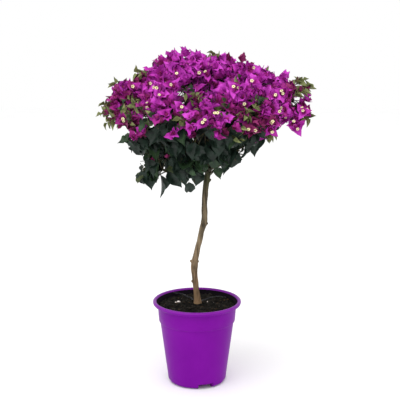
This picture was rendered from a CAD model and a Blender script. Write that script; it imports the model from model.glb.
import math

import bpy
import numpy as np
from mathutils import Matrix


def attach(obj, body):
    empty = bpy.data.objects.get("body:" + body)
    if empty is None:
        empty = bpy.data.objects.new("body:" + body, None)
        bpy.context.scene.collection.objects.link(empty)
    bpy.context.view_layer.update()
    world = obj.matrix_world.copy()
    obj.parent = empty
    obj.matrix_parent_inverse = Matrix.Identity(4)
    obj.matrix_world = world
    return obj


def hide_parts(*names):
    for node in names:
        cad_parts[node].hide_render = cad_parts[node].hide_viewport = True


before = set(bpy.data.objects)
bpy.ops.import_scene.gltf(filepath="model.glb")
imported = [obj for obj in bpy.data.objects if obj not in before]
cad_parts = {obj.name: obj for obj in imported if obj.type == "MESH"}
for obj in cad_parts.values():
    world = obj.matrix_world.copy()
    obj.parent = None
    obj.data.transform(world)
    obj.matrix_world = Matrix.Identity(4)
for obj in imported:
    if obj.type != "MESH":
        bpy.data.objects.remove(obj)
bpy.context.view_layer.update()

# A bougainvillea grown as a standard, in its pot. Lengths are in millimetres until a mesh is made.
MM = 0.001
UP = np.array([0.0, 0.0, 1.0])
TURN = 2 * math.pi
GOLDEN_ANGLE = math.pi * (3 - math.sqrt(5))
NEARLY_UPRIGHT = 0.9

# The photograph's camera, in metres and degrees, and its eye in millimetres.
CAMERA_PLACE = (0.0065, -1.8, 0.743)
CAMERA_PITCH = 10.83
FOCAL_PIXELS = 868
FRAME_PIXELS = 400
SENSOR_MM = 36
EYE = np.array(CAMERA_PLACE) * 1000

# The stem's course, as in the solids: x, y, height and radius.
STEM_COURSE = np.array([
    [1, 1, 171.8, 7.2],
    [-1.5, 0, 200, 6],
    [-5, -2, 240, 6.3],
    [-5, -4, 263, 7.6],
    [-1, -7, 284, 6.1],
    [5.5, -8, 313, 5.6],
    [11, -6, 337, 6.1],
    [15.5, -3, 352, 6.6],
    [16, -1, 392, 5.8],
    [18.5, 0, 425, 6.1],
    [22, 0, 450, 6.2],
    [26, 0, 474, 6],
    [28, 1, 494, 5],
])

# Stubs of old side shoots: share of the stem's length, direction round it in degrees, and length.
STEM_STUBS = [(0.145, 175, 7), (0.285, 185, 7), (0.28, 20, 6), (0.545, 0, 7), (0.83, 5, 9)]

# The masses of foliage, as in the solids: centre, reach, parent limb, share along it and seed.
HEAD_CENTRE = np.array([25.0, 0.0, 530.0])
BLOOM_LINE = 520
MASSES = {
    "skirt_left": ((-77, -42, 474), 60, "trunk", 0.845, 3),
    "skirt_right": ((71, -34, 502), 54, "trunk", 0.86, 20),
    "skirt_front": ((-16, -78, 476), 58, "trunk", 0.885, 23),
    "skirt_back": ((32, 80, 494), 62, "trunk", 0.875, 10),
    "left": ((-130, -6, 604), 67, "trunk", 0.915, 3),
    "right": ((176, -4, 606), 67, "trunk", 0.91, 16),
    "front": ((28, -138, 572), 63, "trunk", 0.94, 7),
    "back_left": ((-82, 104, 612), 67, "trunk", 0.95, 5),
    "back_right": ((132, 98, 604), 66, "trunk", 0.945, 5),
    "top_left": ((-42, -20, 658), 68, "trunk", 0.962, 17),
    "top_right": ((106, -6, 640), 66, "trunk", 0.975, 15),
    "top": ((28, 26, 660), 66, "trunk", 1, 3),
    "low_left": ((-113, -62, 545), 56, "left", 0.42, 2),
    "low_right": ((134, -64, 560), 53, "right", 0.4, 16),
    "front_left": ((-62, -114, 592), 64, "top_left", 0.3, 8),
    "front_right": ((102, -110, 596), 64, "top_right", 0.3, 16),
    "back": ((32, 146, 600), 66, "top", 0.25, 17),
    "inner": ((64, -84, 516), 50, "trunk", 0.9, 13),
}
BOUGH_ROOT_RADIUS = 4.2
SIDE_BOUGH_ROOT_RADIUS = 3.2
BOUGH_TIP_SHARE = 0.62
BOUGH_ENTRY = 0.8
BOUGH_BOW = 0.2
BOUGH_RISE = 0.02
SKIRT_BOUGH_RISE = 0.16
SHOOTS_PER_MASS = 7
SHOOT_SPREAD = 1.4
SHOOT_RISE = 0.12
SHOOT_RADII = (1.5, 1.2)
SHOOT_PLACES = (0.97, 0.25)
SHOOT_REACH = (0.85, 1)
LEAF_SHOOT_SPAN = 0.6
CAD_BRACT_LENGTH = 42
CAD_BRACT_OPENING = math.radians(43)

# Finer growth than in the solids.
BLOOM_TWIGS = 6
LEAF_TWIGS = 4
LOW_TWIGS = 8
TWIG_CONE = math.radians(44)
TWIG_RADII = (1.15, 0.6)
GREEN_TWIG_RADII = (0.9, 0.5)
BRACT_LENGTH = 27
BRACT_WIDTH = 19
LEAF_LENGTH = 46
LEAF_WIDTH = 35
YOUNG_LEAVES = 9

# Tips of the soft young shoots: x, y and height.
YOUNG_TIPS = [
    (-196, -4, 584), (-190, 10, 598), (-183, -22, 566), (-173, 20, 640), (-119, -30, 664),
    (35, 0, 700), (232, -4, 640), (214, -14, 650), (230, -16, 574), (122, -150, 614), (0, -150, 628),
    (-30, -170, 590), (94, -165, 592), (-122, -110, 612), (-140, -90, 590), (216, -30, 632),
    (150, -60, 546), (150, 60, 662), (-60, 130, 668), (60, 190, 640), (120, 150, 650),
]

# The head's top and underside and the lower edge of its blossom, as heights over x at the stem's depth.
HEAD_TOP = [
    (-181, 600), (-178, 612), (-172, 634), (-158, 648), (-130, 651), (-118, 669), (-92, 674),
    (-85, 692), (-48, 711), (-18, 714), (10, 703), (38, 704), (56, 694), (66, 704), (92, 704),
    (100, 690), (142, 674), (150, 663), (188, 665), (195, 640), (204, 630), (222, 632), (234, 620),
    (246, 600),
]
HEAD_UNDERSIDE = [
    (-181, 599), (-173, 588), (-166, 562), (-154, 540), (-142, 508), (-130, 492), (-124, 444),
    (-112, 434), (-92, 432), (-80, 453), (-66, 464), (-52, 447), (-30, 435), (-18, 438), (-12, 452),
    (-4, 436), (8, 440), (14, 470), (30, 482), (50, 480), (60, 466), (70, 470), (84, 500), (92, 511),
    (104, 500), (124, 500), (131, 534), (150, 528), (160, 545), (174, 562), (190, 548), (206, 538),
    (214, 560), (236, 586), (246, 600),
]
BLOSSOM_EDGE = [
    (-190, 575), (-160, 545), (-135, 525), (-112, 535), (-98, 560), (-24, 560), (-10, 540), (48, 540),
    (62, 554), (86, 562), (98, 552), (106, 536), (130, 530), (150, 545), (185, 550), (200, 536),
    (240, 560),
]

# Openings in the head: x and height at the stem's depth, and radius. Each follows the line of sight.
OPENINGS = [
    (-33, 620, 3), (-104, 572, 4), (-92, 549, 3), (-8, 520, 4), (204, 618, 6), (198, 603, 3),
    (-138, 545, 3), (-124, 485, 13),
]

# Hollows in the head's front, with only deeper growth in them, and places with more leaves among the
# blossom: x and height at the stem's depth, and radius.
HOLLOWS = [
    (8, 522, 22), (-16, 604, 15), (86, 634, 10), (-34, 568, 13), (-98, 504, 9), (-10, 641, 12),
    (54, 641, 9), (-59, 634, 9), (105, 586, 9), (80, 558, 9),
]
HOLLOW_DEPTH = 15
HOLLOW_MARGIN = 0.3
LEAFY_PLACES = [
    (-121, 574, 30), (-14, 623, 13), (84, 656, 9), (124, 602, 13), (52, 594, 15), (90, 554, 13),
    (35, 580, 8), (-160, 640, 10), (-36, 567, 14), (-141, 608, 12), (-150, 585, 12), (84, 524, 12),
    (125, 608, 12),
]
# The chance of leaves in place of blossom there, and how many more there are by the radius squared.
LEAFY_CHANCE = 0.45
LEAFY_DENSITY = 0.024

# Places where the blossom is dull (negative) or bright: x, height, radius and strength.
COLOUR_PATCHES = [
    (-150, 595, 55, -0.4), (-115, 545, 36, -0.3), (100, 558, 46, -0.85), (84, 690, 30, -0.4),
    (214, 590, 34, -0.25), (-66, 585, 48, 0.05), (30, 556, 40, -0.1), (-20, 685, 75, 0.8),
    (112, 640, 60, 0.5), (205, 570, 46, 0.3),
]

# Heads of blossom that stand out in the photograph: place, the way each faces, size, opening in degrees,
# open flowers, tint and turn in degrees.
FEATURED_HEADS = [
    ((-42, -168, 560), (-0.1, -1, 0.05), 0.85, 42, 0, "rich", 90),
    ((14, -184, 580), (0, -0.9, 0.2), 1.1, 40, 2, "bright", 80),
    ((-3, -182, 572), (-0.5, -0.7, 0.1), 0.9, 32, 0, "rich", 20),
    ((-8, -179, 586), (-0.4, -0.6, 0.6), 0.85, 28, 0, "bright", 60),
    ((24, -180, 592), (0.3, -0.6, 0.8), 0.9, 26, 0, "rich", 0),
    ((34, -184, 574), (0.5, -0.7, 0.1), 0.95, 30, 0, "rich", 50),
    ((50, -179, 582), (0.5, -0.5, 0.5), 0.95, 28, 0, "bright", 10),
    ((66, -176, 573), (0.6, -0.6, 0.1), 0.9, 32, 0, "deep", 80),
    ((-77, -152, 602), (-0.3, -0.4, 1), 1.15, 22, 0, "bright", 90),
    ((-48, -152, 608), (0.15, -0.4, 1), 1.15, 22, 0, "rich", 30),
    ((-70, -160, 582), (-0.35, -0.6, 0.7), 1.05, 28, 0, "rich", 60),
    ((-40, -160, 592), (0.4, -0.5, 0.6), 1.0, 28, 1, "rich", 0),
    ((-56, -164, 588), (0, -0.8, 0.6), 1.0, 26, 0, "rich", 40),
    ((-66, -40, 682), (-0.5, -0.3, 1), 0.95, 24, 0, "rich", 0),
    ((-50, -30, 690), (-0.3, -0.3, 1), 1.05, 20, 0, "rich", 90),
    ((-24, -12, 696), (0, -0.2, 1), 1.0, 20, 0, "bright", 60),
    ((-2, -5, 691), (0.25, -0.3, 1), 0.95, 24, 0, "bright", 20),
    ((66, 10, 688), (-0.2, -0.3, 1), 0.75, 18, 0, "dusky", 0),
    ((90, 4, 686), (0.4, -0.3, 1), 0.8, 18, 0, "dusky", 45),
    ((108, 4, 674), (0.3, -0.3, 1), 0.7, 20, 0, "deep", 30),
    ((150, -14, 646), (-0.1, -0.4, 0.9), 0.95, 28, 0, "rich", 0),
    ((176, -4, 650), (0.35, -0.4, 0.8), 0.95, 30, 0, "bright", 50),
    ((220, -10, 608), (0.4, -0.7, 0.5), 1.05, 30, 0, "rich", 50),
    ((215, -14, 598), (0, -1, 0.3), 0.85, 34, 0, "deep", 100),
    ((218, -18, 586), (0.3, -0.9, 0.2), 1.0, 38, 2, "rich", 60),
    ((199, -26, 560), (0.2, -1, -0.2), 1.2, 40, 1, "bright", -70),
    ((178, -40, 575), (-0.1, -0.9, 0.2), 0.9, 36, 1, "rich", 10),
    ((-118, -92, 543), (-0.3, -0.8, 0.1), 0.9, 32, 0, "deep", 30),
    ((-85, -72, 494), (-0.3, -0.5, 0.6), 0.42, 9, 0, "dusky", 0),
    ((-60, -92, 501), (0.2, -0.5, 0.7), 0.4, 9, 0, "dusky", 0),
]
FEATURE_CLEARANCE = 15

# Heads with open flowers that face the front: x and height as they are seen, and open flowers.
OPEN_HEADS = [
    (-67, 655, 1), (-42, 655, 1), (-46, 638, 1), (-82, 636, 2), (-101, 645, 1), (6, 665, 1),
    (22, 662, 1), (-33, 597, 1), (-153, 573, 2), (35, 584, 2), (180, 625, 2), (161, 617, 1),
    (182, 593, 1), (168, 585, 1), (198, 561, 1), (220, 586, 2), (156, 565, 2), (152, 552, 1),
    (106, 550, 1), (118, 544, 1), (93, 636, 1), (80, 633, 1), (26, 648, 0), (38, 640, 0),
    (114, 646, 1), (107, 676, 1), (-76, 617, 1), (-132, 636, 1),
]
OPEN_CLEARANCE = 9

# Leaves that stand out along the head's underside: root, tip, width, the way each faces and tint.
FEATURED_LEAVES = [
    ((-74, -60, 462), (-66, -60, 412), 15, (1, -0.6, 0), "dark"),
    ((-16, -60, 447), (-14, -60, 416), 23, (0.2, -1, 0.2), "dark"),
    ((4, -70, 474), (-2, -72, 438), 28, (0.1, -1, 0.2), "dark"),
    ((13, -40, 486), (12, -42, 456), 22, (0.1, -1, 0.2), "middle"),
    ((40, -60, 478), (47, -60, 452), 21, (0.2, -1, 0.3), "middle"),
    ((36, -80, 506), (36, -82, 472), 30, (0.1, -1, 0.3), "middle"),
    ((64, -70, 502), (56, -72, 462), 26, (-0.4, -1, 0.2), "dark"),
    ((76, -64, 514), (69, -66, 462), 28, (0.4, -1, 0.1), "dark"),
    ((96, -60, 524), (101, -62, 488), 14, (1, -0.6, 0), "dark"),
    ((108, -50, 532), (119, -54, 497), 26, (0.3, -1, 0.2), "dark"),
    ((-108, -60, 462), (-130, -64, 446), 17, (-0.2, -0.8, 0.6), "fresh"),
    ((-98, -60, 466), (-92, -62, 430), 30, (0.1, -1, 0.2), "dark"),
    ((-110, -60, 470), (-112, -62, 436), 26, (-0.3, -1, 0.2), "dark"),
    ((-58, -80, 474), (-28, -84, 438), 30, (0.1, -1, 0.1), "dark"),
    ((-30, -70, 474), (-22, -74, 440), 26, (0.1, -1, 0.1), "dark"),
    ((-132, -70, 538), (-158, -74, 524), 22, (-0.2, -0.6, 0.8), "middle"),
    ((-112, -80, 536), (-120, -84, 494), 34, (-0.3, -1, 0.2), "dark"),
    ((-46, -112, 540), (-40, -116, 502), 32, (0.1, -1, 0.2), "dark"),
    ((-38, -100, 496), (-24, -104, 452), 36, (0.2, -1, 0.1), "dark"),
]


def mix(a, b, share):
    return a + (b - a) * share


def floats(row):
    return np.array(row, float)


def unit(vector):
    return vector / np.linalg.norm(vector)


def cross_pair(direction):
    """Two unit vectors square to a direction and to each other."""
    helper = UP if abs(direction[2]) < NEARLY_UPRIGHT else np.array([1.0, 0.0, 0.0])
    first = unit(np.cross(helper, direction))
    return first, unit(np.cross(direction, first))


def turned(direction, angle, azimuth):
    """A unit vector at an angle to a direction, on the side that the azimuth says."""
    first, second = cross_pair(direction)
    side = first * math.cos(azimuth) + second * math.sin(azimuth)
    return direction * math.cos(angle) + side * math.sin(angle)


def leaning(direction, low, high, azimuth, rng):
    """A unit vector at a chance angle to a direction, between a low and a high one in degrees."""
    return turned(direction, math.radians(rng.uniform(low, high)), azimuth)


def round_angles(sides):
    return np.arange(sides) * TURN / sides


class Seeded:
    """The source's repeatable stream of numbers from 0 to 1."""

    FACTOR, STEP, RANGE = 1664525, 1013904223, 4294967296

    def __init__(self, seed):
        self.state = seed

    def __call__(self):
        self.state = (self.state * self.FACTOR + self.STEP) % self.RANGE
        return self.state / self.RANGE


# Curves.

TANGENT_STEP = 0.01


class Path:
    """A curve that is read by its share of length."""

    def __init__(self, evaluate, divisions=200):
        self.evaluate = evaluate
        self.steps = np.linspace(0, 1, divisions + 1)
        spots = np.array([evaluate(t) for t in self.steps])
        self.lengths = np.concatenate([[0], np.cumsum(np.linalg.norm(np.diff(spots, axis=0), axis=1))])
        self.length = self.lengths[-1]

    def at(self, share):
        return self.evaluate(np.interp(share * self.length, self.lengths, self.steps))

    def tangent(self, share):
        low, high = max(share - TANGENT_STEP, 0), min(share + TANGENT_STEP, 1)
        return unit(self.at(high) - self.at(low))

    def spots(self, count):
        return np.array([self.at(share) for share in np.linspace(0, 1, count)])


def bezier(start, bend, end, divisions=24):
    def evaluate(t):
        return start * (1 - t) ** 2 + bend * 2 * t * (1 - t) + end * t**2

    return Path(evaluate, divisions)


def centripetal(points):
    """A centripetal Catmull-Rom curve through points."""
    ends = [2 * points[0] - points[1], *points, 2 * points[-1] - points[-2]]

    def evaluate(t):
        place = (len(points) - 1) * t
        index = min(int(place), len(points) - 2)
        share = place - index
        p0, p1, p2, p3 = ends[index : index + 4]
        d0, d1, d2 = (math.sqrt(np.linalg.norm(b - a)) for a, b in ((p0, p1), (p1, p2), (p2, p3)))
        m1 = ((p1 - p0) / d0 - (p2 - p0) / (d0 + d1) + (p2 - p1) / d1) * d1
        m2 = ((p2 - p1) / d1 - (p3 - p1) / (d1 + d2) + (p3 - p2) / d2) * d1
        cubic = 2 * p1 - 2 * p2 + m1 + m2
        square = -3 * p1 + 3 * p2 - 2 * m1 - m2
        return p1 + m1 * share + square * share**2 + cubic * share**3

    return Path(evaluate)


stem = centripetal(list(STEM_COURSE[:, :3]))


def stem_radius(share):
    return np.interp(stem.at(share)[2], STEM_COURSE[:, 2], STEM_COURSE[:, 3])


# The plan of the head, by the source's rule.


class Mass:
    """One mass of foliage: its space, its bough and the stem inside it."""

    def __init__(self, name, centre, reach, parent, share, seed):
        self.name = name
        self.centre = floats(centre)
        self.reach = reach
        self.seed = seed
        skirt = name.startswith("skirt")
        start = limbs[parent].at(share)
        span = self.centre - start
        end = self.centre - unit(span) * BOUGH_ENTRY * reach
        level = unit(np.array([span[0], span[1], 0]))
        length = np.linalg.norm(end - start)
        rise = SKIRT_BOUGH_RISE if skirt else BOUGH_RISE
        bend = mix(start, end, 0.5) + level * length * BOUGH_BOW + UP * length * rise
        self.bough = bezier(start, bend, end)
        turn = end + self.bough.tangent(1) * np.linalg.norm(self.centre - end) / 2
        self.stem = bezier(end, turn, self.centre)
        self.root_radius = BOUGH_ROOT_RADIUS if parent == "trunk" and not skirt else SIDE_BOUGH_ROOT_RADIUS

    def owns(self, point, margin=0.0):
        """True where a point is inside this mass's reach and nearer to it than to any other mass."""
        away = np.linalg.norm(point - self.centre)
        if away > self.reach - margin:
            return False
        power = away**2 - self.reach**2
        for other in masses:
            if other is self:
                continue
            apart = np.linalg.norm(other.centre - self.centre)
            if power + 2 * margin * apart > np.linalg.norm(point - other.centre) ** 2 - other.reach**2:
                return False
        return True

    def shoots(self):
        """The shoots of the solids: a curve, whether it blooms, its direction and a turn."""
        dice = Seeded(self.seed)
        axis = unit(self.centre - HEAD_CENTRE)
        first, second = cross_pair(axis)
        across = CAD_BRACT_LENGTH * math.sin(CAD_BRACT_OPENING)
        along = CAD_BRACT_LENGTH * math.cos(CAD_BRACT_OPENING)
        bloom_span = math.sqrt(self.reach**2 - across**2) - along
        for k in range(SHOOTS_PER_MASS):
            slant = 1 - ((k + 0.5) / SHOOTS_PER_MASS) * SHOOT_SPREAD
            azimuth = k * GOLDEN_ANGLE + self.seed
            side = first * math.cos(azimuth) + second * math.sin(azimuth)
            direction = unit(axis * slant + side * math.sqrt(1 - slant * slant))
            blooms = self.centre[2] + direction[2] * self.reach > BLOOM_LINE
            span = bloom_span if blooms else self.reach * LEAF_SHOOT_SPAN
            start = self.stem.at(mix(*SHOOT_PLACES, k / (SHOOTS_PER_MASS - 1)))
            end = self.centre + direction * (span - 1) * mix(*SHOOT_REACH, dice())
            bend = mix(start, end, 0.5) + UP * np.linalg.norm(end - start) * SHOOT_RISE
            yield bezier(start, bend, end), blooms, direction, dice() * TURN


limbs = {"trunk": stem}
masses = []
for mass_name, row in MASSES.items():
    masses.append(Mass(mass_name, *row))
    limbs[mass_name] = masses[-1].bough
centres = np.array([mass.centre for mass in masses])
reaches = np.array([mass.reach for mass in masses])

# How far beyond its reach each mass helps to fill the clefts to its neighbours.
HEAD_BLEND = 1.6


def in_head(point, margin=0.0):
    """True inside the masses' reach by a margin, with the clefts between masses filled a little."""
    away = np.linalg.norm(centres - point, axis=1) + margin
    nearness = np.clip(1 - (away / (reaches * HEAD_BLEND)) ** 2, 0, None) ** 2
    return bool(nearness.sum() > (1 - 1 / HEAD_BLEND**2) ** 2)


def as_seen(point):
    """x and height where the line of sight through a point crosses the stem's depth."""
    scale = EYE[1] / (EYE[1] - point[1])
    return EYE[0] + (point[0] - EYE[0]) * scale, EYE[2] + (point[2] - EYE[2]) * scale


def sight_point(x, height, depth):
    """The point this deep on the line of sight that crosses the stem's depth at x and height."""
    return EYE + (np.array([x, 0.0, height]) - EYE) * (1 - depth / EYE[1])


def height_over(edge, x):
    table = np.array(edge)
    return np.interp(x, table[:, 0], table[:, 1])


def in_outline(point, margin=0.0):
    """True between the head's underside and top as they are seen."""
    x, height = as_seen(point)
    inside = height_over(HEAD_UNDERSIDE, x) + margin < height < height_over(HEAD_TOP, x) - margin
    return inside and HEAD_TOP[0][0] + margin < x < HEAD_TOP[-1][0] - margin


def in_places(point, places, margin=0.0):
    """True where a point is seen inside one of the round places, or within a margin of it."""
    x, height = as_seen(point)
    return any(math.hypot(x - place[0], height - place[1]) < place[2] + margin for place in places)


def in_gap(point, half_width):
    """True where something this wide would close an opening in the head or stand before a hollow."""
    if in_places(point, OPENINGS, half_width):
        return True
    return point[1] < HOLLOW_DEPTH and in_places(point, HOLLOWS, half_width * HOLLOW_MARGIN)


# Meshes from arrays.


def place_object(name, data):
    made = bpy.data.objects.new(name, data)
    bpy.context.scene.collection.objects.link(made)
    return made


class Heap:
    """Faces of one kind, gathered and then made into one mesh."""

    def __init__(self):
        self.vertices = []
        self.faces = []
        self.count = 0

    def add(self, vertices, faces):
        self.vertices.append(vertices)
        self.faces.extend(np.asarray(part) + self.count for part in faces)
        self.count += len(vertices)

    def build(self, name, look):
        corners = np.concatenate([part.ravel() for part in self.faces])
        sizes = np.concatenate([np.full(len(part), part.shape[1]) for part in self.faces])
        starts = np.concatenate([[0], np.cumsum(sizes)[:-1]])
        mesh = bpy.data.meshes.new(name)
        mesh.vertices.add(self.count)
        mesh.vertices.foreach_set("co", (np.concatenate(self.vertices) * MM).ravel().astype(np.float32))
        mesh.loops.add(len(corners))
        mesh.loops.foreach_set("vertex_index", corners.astype(np.int32))
        mesh.polygons.add(len(sizes))
        mesh.polygons.foreach_set("loop_start", starts.astype(np.int32))
        mesh.update(calc_edges=True)
        mesh.validate()
        mesh.materials.append(look)
        mesh.shade_smooth()
        made = place_object(name, mesh)
        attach(made, "root")
        return made


def grid_faces(rows, columns, closed=False):
    """Quads of a grid of vertices, row after row; closed joins the last column to the first."""
    spans = columns if closed else columns - 1
    row, column = np.meshgrid(np.arange(rows - 1) * columns, np.arange(spans), indexing="ij")
    after = (column + 1) % columns
    quads = [row + column, row + after, row + columns + after, row + columns + column]
    return np.stack(quads, axis=-1).reshape(-1, 4)


def fan(point, ring, flipped=False):
    """Triangles from one vertex to a ring of them."""
    pair = [ring, np.roll(ring, -1)]
    return np.stack([np.full(len(ring), point), *(pair[::-1] if flipped else pair)], axis=1)


def sweep(spots, radii, sides, relief=None, first=None):
    """A tube with flat ends through spots. relief gives each vertex's share of the radius."""
    tangents = np.gradient(spots, axis=0)
    tangents /= np.linalg.norm(tangents, axis=1)[:, None]
    normal = cross_pair(tangents[0])[0] if first is None else first
    angles = round_angles(sides)
    rings = []
    for index, (spot, tangent) in enumerate(zip(spots, tangents)):
        normal = unit(normal - tangent * np.dot(normal, tangent))
        binormal = np.cross(tangent, normal)
        ring = np.outer(np.cos(angles), normal) + np.outer(np.sin(angles), binormal)
        size = radii[index] if relief is None else radii[index] * relief[index][:, None]
        rings.append(spot + ring * size)
    vertices = np.concatenate([*rings, [spots[0]], [spots[-1]]])
    count = len(spots) * sides
    around = np.arange(sides)
    foot, head = fan(count, around, flipped=True), fan(count + 1, count - sides + around)
    return vertices, [grid_faces(len(spots), sides, closed=True), foot, head]


def waves(points, count, scale, seed):
    """Smooth noise of about -1 to 1 from waves in random directions."""
    rng = np.random.default_rng(seed)
    pushes = rng.normal(size=(count, points.shape[1])) * (TURN / np.asarray(scale, float))
    phases = rng.uniform(0, TURN, count)
    return np.sin(points @ pushes.T + phases).sum(axis=1) / math.sqrt(count)


# Blades. An outline is rows of share and width. A bend is how far the tip curls and the edges lift.

BRACT_OUTLINE = [
    (0, 0.06), (0.06, 0.5), (0.16, 0.84), (0.3, 1), (0.45, 0.94), (0.6, 0.73), (0.75, 0.44),
    (0.88, 0.18), (1, 0.01),
]
BRACT_ROWS = 9
BRACT_HALF_COLUMNS = 3
BRACT_THROAT_ROWS = 3
BRACT_RIPPLE = 0.22
BRACT_BENDS = [
    (0.35, 0.3), (0.7, 0.2), (-0.35, 0.4), (1.0, 0.28), (0.5, 0.1), (0.1, 0.38), (1.3, 0.16),
    (-0.6, 0.3),
]
LEAF_OUTLINE = [
    (0, 0.05), (0.05, 0.46), (0.16, 0.86), (0.3, 1), (0.46, 0.92), (0.62, 0.66), (0.76, 0.36),
    (0.88, 0.13), (1, 0.01),
]
LEAF_BENDS = [(0.5, 0.26), (1.0, 0.16), (0.25, 0.36), (1.4, 0.22), (-0.4, 0.2)]
YOUNG_BENDS = [(0.6, 0.35), (-0.4, 0.4), (1.1, 0.25)]
CURL_POWER = 1.5
LIFT_POWER = 1.4
RIPPLE_PACE = 13


def blade(outline, rows, half_columns, curl, fold, ripple, seed):
    """A blade of length 1 and width 1 along +X that faces +Z.
    curl bends its tip down, fold lifts its edges, and ripple waves them."""
    share = np.linspace(0, 1, rows)
    table = np.array(outline)
    half = np.interp(share, table[:, 0], table[:, 1]) / 2
    across = np.linspace(-1, 1, half_columns * 2 + 1)
    edge = np.abs(across)
    bend = curl * share**CURL_POWER
    step = np.gradient(share)
    forward = np.cumsum(np.cos(bend) * step) - step[0]
    down = np.cumsum(np.sin(bend) * step)
    phase = np.random.default_rng(seed).uniform(0, 6, 2)[(across > 0).astype(int)]
    vertices = []
    for i in range(rows):
        wave = ripple * edge**2 * np.sin(share[i] * RIPPLE_PACE + phase)
        lift = fold * half[i] * 2 * edge**LIFT_POWER + wave * half[i] * 2
        x = forward[i] + lift * math.sin(bend[i])
        z = -down[i] + lift * math.cos(bend[i])
        vertices.append(np.stack([x, across * half[i], z], axis=1))
    return np.concatenate(vertices), [grid_faces(rows, len(across))]


def bract_parts(seed, curl, fold):
    """A bract's deeper coloured throat and its outer part, which share a row of vertices."""
    vertices, _ = blade(BRACT_OUTLINE, BRACT_ROWS, BRACT_HALF_COLUMNS, curl, fold, BRACT_RIPPLE, seed)
    columns = BRACT_HALF_COLUMNS * 2 + 1
    inner = vertices[: (BRACT_THROAT_ROWS + 1) * columns], [grid_faces(BRACT_THROAT_ROWS + 1, columns)]
    outer = vertices[BRACT_THROAT_ROWS * columns :], [grid_faces(BRACT_ROWS - BRACT_THROAT_ROWS, columns)]
    return inner, outer


def leaf_blades(bends, first_seed, **form):
    return [
        blade(LEAF_OUTLINE, curl=curl, fold=fold, seed=seed, **form)
        for seed, (curl, fold) in enumerate(bends, start=first_seed)
    ]


bract_shapes = [bract_parts(seed, *bend) for seed, bend in enumerate(BRACT_BENDS)]
leaf_shapes = leaf_blades(LEAF_BENDS, first_seed=20, rows=9, half_columns=2, ripple=0.09)
young_shapes = leaf_blades(YOUNG_BENDS, first_seed=40, rows=5, half_columns=1, ripple=0.03)


def place_blade(heap, shape, root, along, facing, length, width):
    """Sets a blade with its root at a point, running along one way and facing another."""
    across = unit(np.cross(facing, along))
    normal = np.cross(along, across)
    vertices, faces = shape
    placed = root + np.outer(vertices[:, 0] * length, along) + np.outer(vertices[:, 1] * width, across)
    heap.add(placed + np.outer(vertices[:, 2] * length, normal), faces)


# Small flowers.

STAR_LOBES = 5
STAR_SIDES = 20
# The star's rings from its rim inward: radius, how deep its lobes are, how far it is sunk, and its waves.
STAR_RINGS = [(1, 0.16, 0.02, 0.1), (0.72, 0.08, 0.0, 0.07), (0.34, 0.02, 0.1, 0), (0.2, 0, 0.5, 0)]
THROAT_SIDES = 10
THROAT_RADIUS = 0.36
THROAT_BULGE = 0.02


def star_shape():
    """A small open flower: a wavy five-lobed plate that sinks to a throat, facing +X at the origin."""
    angles = round_angles(STAR_SIDES)
    rings = []
    for radius, lobing, sink, wave in STAR_RINGS:
        reach = radius * (1 + lobing * np.cos(angles * STAR_LOBES))
        lift = -sink + wave * np.cos(angles * STAR_LOBES * 2)
        rings.append(np.stack([lift, np.cos(angles) * reach, np.sin(angles) * reach], axis=1))
    return np.concatenate(rings), [grid_faces(len(STAR_RINGS), STAR_SIDES, closed=True)]


def throat_shape():
    """The yellow-green middle of a small flower, facing +X."""
    angles = round_angles(THROAT_SIDES)
    rim = np.full(THROAT_SIDES, -THROAT_BULGE)
    ring = np.stack([rim, np.cos(angles) * THROAT_RADIUS, np.sin(angles) * THROAT_RADIUS], axis=1)
    vertices = np.concatenate([ring, [[THROAT_BULGE, 0, 0]]])
    return vertices, [fan(THROAT_SIDES, np.arange(THROAT_SIDES))]


def place_round(heap, shape, centre, facing, size):
    """Sets a shape that faces +X so that it faces a direction."""
    first, second = cross_pair(facing)
    vertices, faces = shape
    placed = np.outer(vertices[:, 0], facing) + np.outer(vertices[:, 1], first)
    heap.add(centre + (placed + np.outer(vertices[:, 2], second)) * size, faces)


star = star_shape()
throat = throat_shape()

# Growth. Each heap gathers the faces of one kind.

TINTS = ("bright", "rich", "deep", "dusky")
LEAF_TINTS = ("dark", "middle", "fresh")
SMALL_LEAF_TINTS = ("middle", "fresh", "young")
heap_names = [f"bracts_{tint}" for tint in TINTS] + [f"leaves_{tint}" for tint in (*LEAF_TINTS, "young")]
heaps = {name: Heap() for name in [*heap_names, "tubes", "stars", "throats", "twigs", "green_twigs"]}

# What has grown: heads of blossom, leaves, leaves as they are seen, and places on limbs with their ways.
head_spots = []
leaf_spots = []
leaf_sights = []
limb_spots = []
limb_ways = []

# The depths at which the head's front is looked for, how deep the open heads sit in it and how much
# lower than their flowers, and how far behind a head that stands out others still crowd it.
FRONT_DEPTHS = range(-230, 100, 4)
OPEN_HEAD_DEPTH = 14
OPEN_HEAD_DROP = 5
COVER_DEPTH = 20


def front_of_head(x, height, depth_in):
    """The place this far behind the head's front on a line of sight."""
    for depth in FRONT_DEPTHS:
        if in_head(sight_point(x, height, depth)):
            return sight_point(x, height, depth + depth_in)
    return sight_point(x, height, 0)


open_heads = []
for x, height, stars in OPEN_HEADS:
    open_heads.append((front_of_head(x, height - OPEN_HEAD_DROP, OPEN_HEAD_DEPTH), stars))
# The places that other heads of blossom keep clear of: point and clearance.
kept_clear = [(spot, FEATURE_CLEARANCE) for spot, *_ in FEATURED_HEADS]
kept_clear += [(spot, OPEN_CLEARANCE) for spot, _ in open_heads]
kept_seen = [(*as_seen(spot), spot[1] + COVER_DEPTH, clearance) for spot, clearance in kept_clear]


def crowds_feature(point):
    """True where a head of blossom would cover or crowd one that stands out."""
    x, height = as_seen(point)
    return any(
        math.hypot(x - spot_x, height - spot_height) < clearance and point[1] < depth
        for spot_x, spot_height, depth, clearance in kept_seen
    )


FIT_TRIES = 6
FIT_MIDDLE = 0.65
FIT_PULL = 400


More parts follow.
